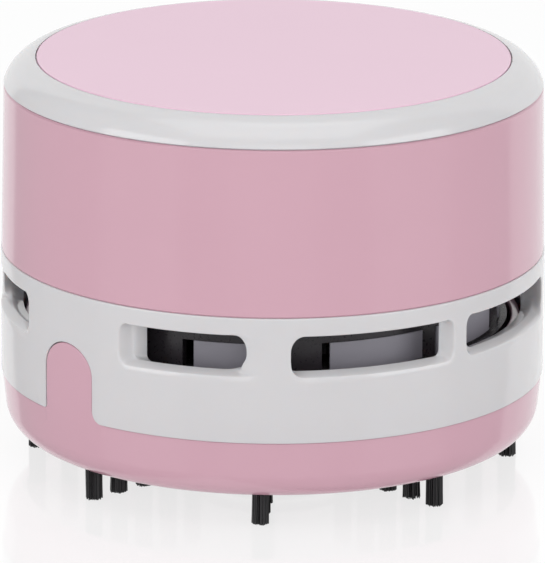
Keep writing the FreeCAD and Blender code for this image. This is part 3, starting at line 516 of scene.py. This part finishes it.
short_slot = {"pull": 0, "low": 24.93, "high": 30.57, "roll": 0.4,
              "near_lip": 10.2, "near_throat": 11.4, "near_back": 12.06, "far": 27.65, "far_lip": 30.5,
              "far_lip_corners": ((2.4, 1.6), (3.6, 2.7)), "far_corners": ((3.4, 2.6), (1.5, 2.5))}
side_rows = np.concatenate([
    np.linspace(band_low + crisp_edge, 16.15, 8), np.linspace(16.15, belt_low, 6)[1:],
    np.linspace(belt_low, belt_high, 8)[1:], np.linspace(belt_high, band_high - band_edge, 3)[1:]])
belt_rows = np.linspace(belt_low, belt_high, len(side_rows))
arc_share = 4
skin_shares = (0, 0.5, 0.9, 1.0)
wall_shares = (0.35, 0.7, 1.0)
belt_shares = (0.15, 0.4, 0.7, 1.0)
throat_steps = 16
near_fade = (0.3, 1.6)
sill_fade = (0.2, 1.2)
roll_length = 2.8
round_share = 0.4
roll_share = 0.6
lip_softness = 0.12
dish_power = 1.8
long_across = 56
short_across = 44
arch_across = 8


def smooth(low, high, value):
    """0 below low, 1 above high, and 3 t t - 2 t t t between them."""
    t = np.clip((value - low) / (high - low), 0, 1)
    return t * t * (3 - 2 * t)


def box_loop(left, right, rows, across):
    """A box's outline from its lower left corner, anticlockwise, as (degrees, height)."""
    flat = np.linspace(left, right, across + 1)
    low = np.stack([flat, 0 * flat + rows[0]], axis=-1)
    high = np.stack([flat, 0 * flat + rows[-1]], axis=-1)
    rise = np.stack([0 * rows + right, rows], axis=-1)
    fall = np.stack([0 * rows + left, rows], axis=-1)
    return np.concatenate([low[:-1], rise[:-1], high[:0:-1], fall[:0:-1]])


def slot_loop(left, right, low, high, left_corners, right_corners, across, up):
    """A rounded box from the middle of its lower left corner. An end's corners come as low and
    high. Each side is an eighth turn, a straight and an eighth turn, so that it pairs with a side
    of a plain box."""
    way = math.copysign(1, right - left)
    corners = (left_corners[0], right_corners[0], right_corners[1], left_corners[1])
    sizes = [np.array(size) * (way, 1) for size in corners]
    middles = [np.array((left, low)) + sizes[0], np.array((right, low)) + sizes[1] * (-1, 1),
               np.array((right, high)) - sizes[2], np.array((left, high)) + sizes[3] * (1, -1)]
    loop = []
    for number, count in enumerate((across, up, across, up)):
        after = (number + 1) % 4
        swing = np.radians(225 + 90 * number + np.linspace(0, 45, arc_share + 1))[:, None]
        opening = middles[number] + np.hstack([np.cos(swing), np.sin(swing)]) * sizes[number]
        swing = swing + math.pi / 4
        closing = middles[after] + np.hstack([np.cos(swing), np.sin(swing)]) * sizes[after]
        straight = np.linspace(opening[-1], closing[0], count - 2 * arc_share + 1)[1:-1]
        loop.append(np.concatenate([opening, straight, closing[:-1]]))
    return np.concatenate(loop)


def at_radius(loop, radius):
    """(degrees from +Y, height) at a radius: (r sin a, r cos a, z)."""
    angle = np.radians(loop[..., 0])
    return np.stack([radius * np.sin(angle), radius * np.cos(angle), loop[..., 1] + 0 * angle], axis=-1)


def along_pull(loop, radius, pull):
    """(place across the slide, height) at a radius: the slide's own way is sqrt(r r - k k)."""
    across, height = loop[..., 0], loop[..., 1]
    way = np.sqrt(radius ** 2 - across ** 2)
    plan = (way, across) if pull == 0 else (across, way)
    return np.stack([*plan, height], axis=-1)


def bearing(points):
    """Points as (degrees from +Y, height): (atan2(x, y), z)."""
    return np.stack([np.degrees(np.arctan2(points[:, 0], points[:, 1])), points[:, 2]], axis=-1)


def belt_skin(degrees):
    """Inner radius of the belt, which is relieved behind the narrow bars on the Y axis: it goes
    from the relief's radius to the belt's as smooth() of the bearing."""
    return belt_radius + (relief_radius - belt_radius) * (1 - smooth(*relief_ends, degrees))


def vent_patch(left, right, slot, across):
    """The band round one slot, ring by ring: plain skin, the slot's lip on the skin, its throat
    and its back. With s from 0 to 1 between lip and throat, e for the lip's softness and
    m = (1 + e) s s / (s + e), the near end is dished, D (1 - (1 - m) ** p), the sill slopes, D m,
    the far end of a short slot rolls in, R s s, before its wall, and the rest is a small round
    and a wall."""
    up = len(side_rows) - 1
    near_first = slot["pull"] == 1
    slot_low, slot_high = slot["low"], slot["high"]

    def loop_of(near, far, low, high, near_corners, far_corners):
        ends, corners = ((near, far), (near_corners, far_corners))
        if not near_first:
            ends, corners = ends[::-1], corners[::-1]
        return slot_loop(*ends, low, high, *corners, across, up)

    outside = box_loop(left, right, side_rows, across)
    mouth = loop_of(slot["near_lip"], slot["far_lip"], slot_low - sill_rise, slot_high + edge_fillet,
                    near_lip_corners, slot["far_lip_corners"])
    throat = loop_of(slot["near_throat"], slot["far"], slot_low, slot_high,
                     near_throat_corners, slot["far_corners"])
    back = loop_of(slot["near_back"], slot["far"], slot_low - sill_drop, slot_high,
                   near_throat_corners, slot["far_corners"])
    near = 1 - smooth(slot["near_lip"] + near_fade[0], slot["near_lip"] + near_fade[1], mouth[:, :1])
    sill = 1 - smooth(slot_low - sill_rise + sill_fade[0], slot_low + sill_fade[1], mouth[:, 1:])
    roll = smooth(slot["far"] - roll_length, slot["far"], throat[:, :1]) * (slot["roll"] > 0)
    lip = bearing(along_pull(mouth, band_radius, slot["pull"]))
    rings = [at_radius(outside + (lip - outside) * share, band_radius) for share in skin_shares]
    depth = band_radius - throat_radius
    for share in np.linspace(0, 1, throat_steps + 1)[1:]:
        bend = min(share / round_share, 1) * math.pi / 2
        inward = min(share / roll_share, 1)
        past_round = max(share - round_share, 0) / (1 - round_share)
        past_roll = max(share - roll_share, 0) / (1 - roll_share)
        soft = (1 + lip_softness) * share * share / (share + lip_softness)
        laws = [
            (1.0, math.sin(bend), edge_fillet * (1 - math.cos(bend)) + (depth - edge_fillet) * past_round),
            (sill, share, depth * soft),
            (roll, inward, slot["roll"] * inward ** 2 + (depth - slot["roll"]) * past_roll),
            (near, share, depth * (1 - (1 - soft) ** dish_power))]
        move, sink = 0.0, 0.0
        for weight, law_move, law_sink in laws:
            move, sink = move + (law_move - move) * weight, sink + (law_sink - sink) * weight
        rings.append(along_pull(mouth + (throat - mouth) * move, band_radius - sink[:, 0], slot["pull"]))
    skin = belt_skin(bearing(along_pull(back, belt_radius, slot["pull"]))[:, 0])
    for share in wall_shares:
        radius = throat_radius + (skin - throat_radius) * share
        rings.append(along_pull(throat + (back - throat) * share, radius, slot["pull"]))
    start = bearing(rings[-1])
    belt = box_loop(left, right, belt_rows, across)
    for share in belt_shares:
        loop = start + (belt - start) * share
        rings.append(at_radius(loop, skin + (belt_skin(loop[:, 0]) - skin) * share))
    return surface(np.stack(rings), ring=True)


def rounded_rim(low):
    """Half of the band's rim as (radius, height): a quarter round of the skin's edge, then flat."""
    size = crisp_edge if low else band_edge
    height, way = (band_low, 1) if low else (band_high, -1)
    turn = np.radians(np.linspace(0, 90, 5))
    rim = [(band_radius - size * (1 - math.cos(t)), height + way * size * (1 - math.sin(t)))
           for t in turn]
    return rim + [(band_radius - size * 2, height), (band_inner, height)]


def edge_strips(left, right, across, belted):
    """The band's lower and upper edges, and its inner wall as far as the belt."""
    lower, upper = rounded_rim(low=True), rounded_rim(low=False)
    if belted:
        lower += [(band_inner, z) for z in side_rows if z <= belt_low] + [(belt_radius, belt_low)]
        upper += [(band_inner, z) for z in side_rows[::-1] if z >= belt_high] + [(belt_radius, belt_high)]
    else:
        upper.append((band_inner, side_rows[-1]))
    flat = np.linspace(left, right, across + 1)
    patches = []
    for strip in [lower, upper] if belted else [upper]:
        rows = [at_radius(np.stack([flat, 0 * flat + height], axis=-1),
                          belt_skin(flat) if radius == belt_radius else radius) for radius, height in strip]
        patches.append(surface(np.stack(rows)))
    return patches


def belt_end():
    """The belt's end beside the tongue: one flat face through all the rows that meet it."""
    outer = [(band_inner, z) for z in side_rows if belt_low <= z <= belt_high]
    inner = [(belt_radius, z) for z in belt_rows[::-1]]
    outline = np.array(outer + inner)
    angle = math.radians(patch_ends[2])
    radius, height = outline.T
    points = np.stack([radius * math.sin(angle), radius * math.cos(angle), height], axis=-1)
    return points, [list(range(len(points)))]


def arch_patch(fillet):
    """The band beside and over half a tongue. The arch is half an ellipse like the tongue's crown,
    (half sin t, side top + rise cos t). Its outline is paired with the patch's far side and top,
    outside and inside, and a wall joins them."""
    half = tongue_half + notch_gap
    low_rows = side_rows[side_rows <= tongue_level]
    bend = np.linspace(math.pi / 2, 0, 41)
    side_top = tongue_crown - crown_rise
    path = np.vstack([
        [(half, low_rows[-1])],
        np.stack([half * np.sin(bend), side_top + (crown_rise + notch_gap) * np.cos(bend)], axis=-1)])
    run = np.concatenate([[0], np.cumsum(np.hypot(*np.diff(path, axis=0).T))])
    stops = np.linspace(0, run[-1], len(side_rows) - len(low_rows) + arch_across + 1)[1:]
    arch = np.stack([np.interp(stops, run, path[:, 0]), np.interp(stops, run, path[:, 1])], axis=-1)
    outline = np.vstack([np.stack([half + foot_flare(low_rows, fillet), low_rows], axis=-1), arch])
    patches = []
    edges = []
    for skin in (band_radius, band_inner):
        degrees = 90 - np.degrees(np.arcsin(outline[:, 0] / skin))
        inside = np.stack([degrees, outline[:, 1]], axis=-1)
        top = np.linspace(patch_ends[2], patch_ends[3], arch_across + 1)[1:]
        beyond = np.concatenate([
            np.stack([0 * side_rows + patch_ends[2], side_rows], axis=-1),
            np.stack([top, 0 * top + side_rows[-1]], axis=-1)])
        share = np.linspace(0, 1, 8)[:, None, None]
        patches.append(surface(at_radius(beyond + (inside - beyond) * share, skin)))
        edges.append(at_radius(inside, skin))
    patches.append(surface(np.stack(edges)))
    foot = np.array(rounded_rim(low=True) + [(band_inner, side_rows[0])])
    near_degrees = 90 - np.degrees(np.arcsin((half + foot_flare(foot[:, 1], fillet)) / foot[:, 0]))
    degrees = patch_ends[2] + (near_degrees - patch_ends[2])[:, None] * np.linspace(0, 1, 8)
    angle = np.radians(degrees)
    reach = foot[:, :1]
    rows = np.stack([reach * np.sin(angle), reach * np.cos(angle), foot[:, 1:] + 0 * angle], axis=-1)
    patches.append(surface(rows))
    patches.append((rows[:, -1], [list(range(len(rows)))]))
    return patches


band_patches = []
for flip_x, flip_y in ((1, 1), (-1, 1), (1, -1), (-1, -1)):
    quarter = [vent_patch(patch_ends[0], patch_ends[1], long_slot, long_across),
               vent_patch(patch_ends[1], patch_ends[2], short_slot, short_across), belt_end()]
    quarter += edge_strips(patch_ends[0], patch_ends[1], long_across, True)
    quarter += edge_strips(patch_ends[1], patch_ends[2], short_across, True)
    quarter += edge_strips(patch_ends[2], patch_ends[3], arch_across, False)
    quarter += arch_patch(wide_fillet if flip_x == flip_y else small_fillet)
    band_patches += [(points * (flip_x, flip_y, 1), faces) for points, faces in quarter]
band = make_piece("vent_housing_moulding", band_patches, white_abs, crease=50.0)
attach(band, "housing")
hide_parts("vent_housing")


# Fan cage, deck and filter frame. Black ABS mouldings with a matt, finely sparked skin, held by
# small screws. Behind the cage's windows sit thin satin grey sheets that catch lint.
fibre_size = 0.5
fibre_depth = 0.2

black_abs = moulded("sparked_black_abs", "3A363B", "2F2C30", rough=0.3,
                    wave=(6.0, 0.003), grain=(0.5, 0.0015))
grey_sheet = moulded("satin_grey_sheet", "A5A3AC", "9B99A3", rough=0.38,
                     wave=(5.0, 0.01), grain=(0.3, 0.003))
for node in ("fan_cage", "motor_deck", "filter_frame", "impeller", "motor_retainer", "battery_tray",
             "switch_body"):
    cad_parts[node].material_slots[0].material = black_abs
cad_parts["exhaust_screens"].material_slots[0].material = grey_sheet


def felt():
    """Needled white felt: matt tangled fibres, drawn half a millimetre thick so that they show."""
    made, tree, where, out = new_material("needled_white_felt")
    fibres = add(tree, "ShaderNodeTexNoise", {
        "Vector": where, "Scale": per(fibre_size), "Detail": 6.0, "Roughness": 0.7, "Distortion": 2.0})
    colour = add(tree, "ShaderNodeMix", {"Factor": fibres.outputs["Fac"]}, data_type="RGBA")
    colour.inputs[6].default_value = linear("BFBDB8")
    colour.inputs[7].default_value = linear("EDEBE6")
    bump = add(tree, "ShaderNodeBump", {"Height": fibres.outputs["Fac"], "Distance": fibre_depth * mm})
    skin = add(tree, "ShaderNodeBsdfPrincipled", {
        "Base Color": colour.outputs[2], "Roughness": 0.95, "Sheen Weight": 0.3,
        "Normal": bump.outputs["Normal"]})
    tree.links.new(skin.outputs["BSDF"], out.inputs["Surface"])
    return made


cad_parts["filter_disc"].material_slots[0].material = felt()


# Motor, contacts and screws. Zinc-plated and nickel-plated steel with drawn lines, bare brass
# tabs, dark magnets, an iron armature and a natural nylon end cap.
line_depth = 0.004


def metal(name, shade, darker, rough, line_size, stretch):
    """A bare or plated metal: fine lines along the way it was drawn, in its shade and its polish."""
    made, tree, where, out = new_material(name)
    drawn = add(tree, "ShaderNodeMapping", {"Vector": where, "Scale": stretch})
    lines = add(tree, "ShaderNodeTexNoise", {
        "Vector": drawn.outputs["Vector"], "Scale": per(line_size), "Detail": 3.0})
    colour = add(tree, "ShaderNodeMix", {"Factor": lines.outputs["Fac"]}, data_type="RGBA")
    colour.inputs[6].default_value = linear(shade)
    colour.inputs[7].default_value = linear(darker)
    polish = add(tree, "ShaderNodeMapRange", {
        "Value": lines.outputs["Fac"], "From Min": noise_low, "From Max": noise_high,
        "To Min": rough * 0.75, "To Max": rough * 1.25})
    bump = add(tree, "ShaderNodeBump", {"Height": lines.outputs["Fac"], "Distance": line_depth * mm})
    skin = add(tree, "ShaderNodeBsdfPrincipled", {
        "Base Color": colour.outputs[2], "Roughness": polish.outputs["Result"], "Metallic": 1.0,
        "Normal": bump.outputs["Normal"]})
    tree.links.new(skin.outputs["BSDF"], out.inputs["Surface"])
    return made


zinc_steel = metal("zinc_plated_steel", "C9C9CC", "B5B5BA", 0.28, 0.4, (1.0, 1.0, 0.1))
nickel_strip = metal("nickel_plated_strip", "D6D3CC", "C2BFB8", 0.22, 0.3, (1.0, 0.1, 1.0))
brass = metal("bare_brass", "D8B36A", "C39A50", 0.3, 0.3, (1.0, 1.0, 0.2))
iron = metal("stacked_iron", "8A7F78", "6E6159", 0.45, 0.5, (0.2, 0.2, 3.0))
cell_sleeve = metal("plain_cell_sleeve", "C4C6CB", "B3B5BB", 0.3, 0.5, (0.1, 1.0, 1.0))
ferrite = moulded("sintered_ferrite", "2A2A2B", "202021", rough=0.6,
                  wave=(3.0, 0.004), grain=(0.2, 0.01))
nylon_cap = moulded("natural_nylon", "DEDCD0", "D5D2C4", rough=0.4,
                    wave=(5.0, 0.003), grain=(0.4, 0.004))
red_skin = moulded("red_wire_skin", "B5201C", "A31A17", rough=0.35,
                   wave=(3.0, 0.002), grain=(0.25, 0.003))
black_skin = moulded("black_wire_skin", "1D1D1E", "161617", rough=0.35,
                     wave=(3.0, 0.002), grain=(0.25, 0.003))
finishes = {
    "motor_can": zinc_steel, "motor_shaft": zinc_steel, "housing_screws": zinc_steel,
    "cage_screws": zinc_steel, "retainer_screws": zinc_steel,
    "positive_contact": nickel_strip, "negative_contact": nickel_strip,
    "link_contact": nickel_strip, "battery_springs": nickel_strip, "motor_terminals": brass,
    "switch_terminals": brass, "commutator": brass, "motor_armature": iron, "front_battery": cell_sleeve,
    "rear_battery": cell_sleeve, "motor_magnets": ferrite, "motor_end_cap": nylon_cap,
    "battery_lead": red_skin, "switch_lead": red_skin, "return_lead": black_skin,
}
for node, finish in finishes.items():
    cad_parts[node].material_slots[0].material = finish


# Upper housing and switch. The pink drum is one ABS moulding that narrows by half a millimetre
# towards the top. The white slider sits in a sunk window at the back.
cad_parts["upper_housing"].material_slots[0].material = pink_abs
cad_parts["switch_knob"].material_slots[0].material = white_abs


# Top cap. A glossy white shoulder ring with a round-over, and a satin pale pink disc that is
# sunk into it with a narrow dark groove all round.
shoulder_radius = 41.05
shoulder_low = 58.75
disc_radius = 36.05
disc_top = 63.0
disc_seat = 61.8
groove = 0.2
shoulder_bend = (39.55, 61.35)
shoulder_top = 62.88
plate_low = 60.6
skirt_inner = 37.3
skirt_outer = 38.9
skirt_low = 55.55
pole = 0.01
shoulder_side = 0.25
shoulder_arc = arc_points((shoulder_radius, shoulder_low + shoulder_side), shoulder_bend,
                          (disc_radius + groove, shoulder_top), 28)
shoulder_rest = rounded(
    [(disc_radius + groove, disc_seat), (pole, disc_seat), (pole, plate_low), (skirt_inner, plate_low),
     (skirt_inner, skirt_low), (skirt_outer, skirt_low), (skirt_outer, shoulder_low),
     (shoulder_radius, shoulder_low)],
    [0.0, 0.0, 0.0, 0.3, 0.2, 0.2, 0.0, crisp_edge])
shoulder_outline = np.vstack([shoulder_arc, shoulder_rest])
shoulder = make_piece("shoulder_moulding", [turned(shoulder_outline, turn_steps)], white_abs)
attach(shoulder, "top_cap")
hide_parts("shoulder_ring")

disc_pink = moulded("satin_pale_pink_abs", "F4CFE2", "F2CDE0", rough=0.34,
                    wave=(12.0, 0.003), grain=(0.25, 0.002))
disc_outline = rounded(
    [(pole, disc_seat), (disc_radius, disc_seat), (disc_radius, disc_top), (pole, disc_top)],
    [0.0, 0.1, 0.22, 0.0])
disc = make_piece("top_disc_moulding", [turned(disc_outline, turn_steps)], disc_pink)
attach(disc, "top_cap")
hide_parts("top_disc")


# Studio. A glossy white table in a white room, with one large soft lamp above and three low ones
# round the front. What the object's gloss mirrors is white behind it and dimmer in front of it.
table_size = 3.0
table_white = 0.76
table_matt = 0.13
table_gloss = 0.13
front_share = 0.45
room_light = 0.43
room_reach = 10.0
front_edges = ((30.0, 36.0), (-53.2, 39.5))
lamp_distance = 0.9


def mirrored(tree, where, rays):
    """Share of full white that a ray meets. Mirror rays meet less in front of the object: where
    the way to the place, along a bearing beside the camera's, passes an edge in millimetres."""
    behind = None
    for bearing_from_camera, edge in front_edges:
        angle = camera_azimuth + math.radians(bearing_from_camera)
        way = add(tree, "ShaderNodeVectorMath", {0: where, 1: (math.sin(angle), -math.cos(angle), 0.0)},
                  operation="DOT_PRODUCT")
        inside = add(tree, "ShaderNodeMath", {0: way.outputs["Value"], 1: edge * mm}, operation="LESS_THAN")
        behind = inside if behind is None else add(
            tree, "ShaderNodeMath", {0: behind.outputs[0], 1: inside.outputs[0]}, operation="MULTIPLY")
    front = add(tree, "ShaderNodeMath", {0: 1.0, 1: behind.outputs[0]}, operation="SUBTRACT")
    dimmed = add(tree, "ShaderNodeMath", {0: front.outputs[0], 1: rays.outputs["Is Glossy Ray"]},
                 operation="MULTIPLY")
    return add(tree, "ShaderNodeMath", {0: dimmed.outputs[0], 1: front_share - 1, 2: 1.0},
               operation="MULTIPLY_ADD")


def seen_directly(tree, rays):
    """1 for camera rays and mirror rays, 0 for the rays that carry light."""
    return add(tree, "ShaderNodeMath", {
        0: rays.outputs["Is Camera Ray"], 1: rays.outputs["Is Glossy Ray"]}, operation="MAXIMUM")


def table_surface():
    """Polished white acrylic: seen directly it is nearly even white, with a faint mirror image and
    a faint shade. To the object it is a plain white board."""
    made, tree, where, out = new_material("polished_white_acrylic")
    rays = add(tree, "ShaderNodeLightPath", {})
    share = mirrored(tree, where, rays)
    strength = add(tree, "ShaderNodeMath", {0: share.outputs[0], 1: table_white}, operation="MULTIPLY")
    glow = add(tree, "ShaderNodeEmission", {"Color": (1.0, 1.0, 1.0, 1.0), "Strength": strength.outputs[0]})
    matt = add(tree, "ShaderNodeBsdfDiffuse", {"Color": (table_matt, table_matt, table_matt, 1.0)})
    gloss = add(tree, "ShaderNodeBsdfGlossy", {
        "Color": (table_gloss, table_gloss, table_gloss, 1.0), "Roughness": 0.05})
    seen = add(tree, "ShaderNodeAddShader", {0: glow.outputs[0], 1: matt.outputs[0]})
    seen = add(tree, "ShaderNodeAddShader", {0: seen.outputs[0], 1: gloss.outputs[0]})
    board = add(tree, "ShaderNodeBsdfDiffuse", {"Color": linear("F2F1F1")})
    mix = add(tree, "ShaderNodeMixShader", {
        0: seen_directly(tree, rays).outputs[0], 1: board.outputs[0], 2: seen.outputs[0]})
    tree.links.new(mix.outputs["Shader"], out.inputs["Surface"])
    return made


table_half = table_size / 2
table_corners = [(-table_half, -table_half, 0), (table_half, -table_half, 0),
                 (table_half, table_half, 0), (-table_half, table_half, 0)]
table_mesh = bpy.data.meshes.new("table")
table_mesh.from_pydata(table_corners, [], [(0, 1, 2, 3)])
table_mesh.materials.append(table_surface())
table = bpy.data.objects.new("table", table_mesh)
bpy.context.scene.collection.objects.link(table)

world = bpy.data.worlds.new("surround")
world.use_nodes = True
bpy.context.scene.world = world
sky = world.node_tree
sky.nodes.clear()
sky_out = add(sky, "ShaderNodeOutputWorld", {})
sky_rays = add(sky, "ShaderNodeLightPath", {})
sky_way = add(sky, "ShaderNodeTexCoord", {})
sky_place = add(sky, "ShaderNodeVectorMath", {0: sky_way.outputs["Generated"], "Scale": room_reach},
                operation="SCALE")
sky_share = mirrored(sky, sky_place.outputs["Vector"], sky_rays)
dim = add(sky, "ShaderNodeBackground", {"Color": (1.0, 1.0, 1.0, 1.0), "Strength": room_light})
bright = add(sky, "ShaderNodeBackground", {
    "Color": (1.0, 1.0, 1.0, 1.0), "Strength": sky_share.outputs[0]})
sky_mix = add(sky, "ShaderNodeMixShader", {
    0: seen_directly(sky, sky_rays).outputs[0],
    1: dim.outputs["Background"], 2: bright.outputs["Background"]})
sky.links.new(sky_mix.outputs["Shader"], sky_out.inputs["Surface"])


def soft_box(name, azimuth, elevation, width, height, power):
    """A rectangular lamp at a bearing from the object, facing the middle of it."""
    lamp = bpy.data.lights.new(name, "AREA")
    lamp.shape = "RECTANGLE"
    lamp.size, lamp.size_y, lamp.energy = width, height, power
    made = bpy.data.objects.new(name, lamp)
    bpy.context.scene.collection.objects.link(made)
    a, e = math.radians(azimuth), math.radians(elevation)
    way = Vector((math.sin(a) * math.cos(e), -math.cos(a) * math.cos(e), math.sin(e)))
    turn = way.to_track_quat("Z", "Y").to_matrix().to_4x4()
    made.matrix_world = Matrix.Translation(way * lamp_distance + Vector((0, 0, look_height))) @ turn


soft_box("overhead_box", -42.5, 80.0, 0.9, 0.9, 2.6)
soft_box("left_box", -100.0, 18.0, 0.6, 0.5, 2.0)
soft_box("right_box", 17.5, 18.0, 0.6, 0.5, 1.85)
soft_box("front_box", -42.5, 18.0, 0.6, 0.5, 0.9)
bpy.context.scene.view_settings.view_transform = "Standard"
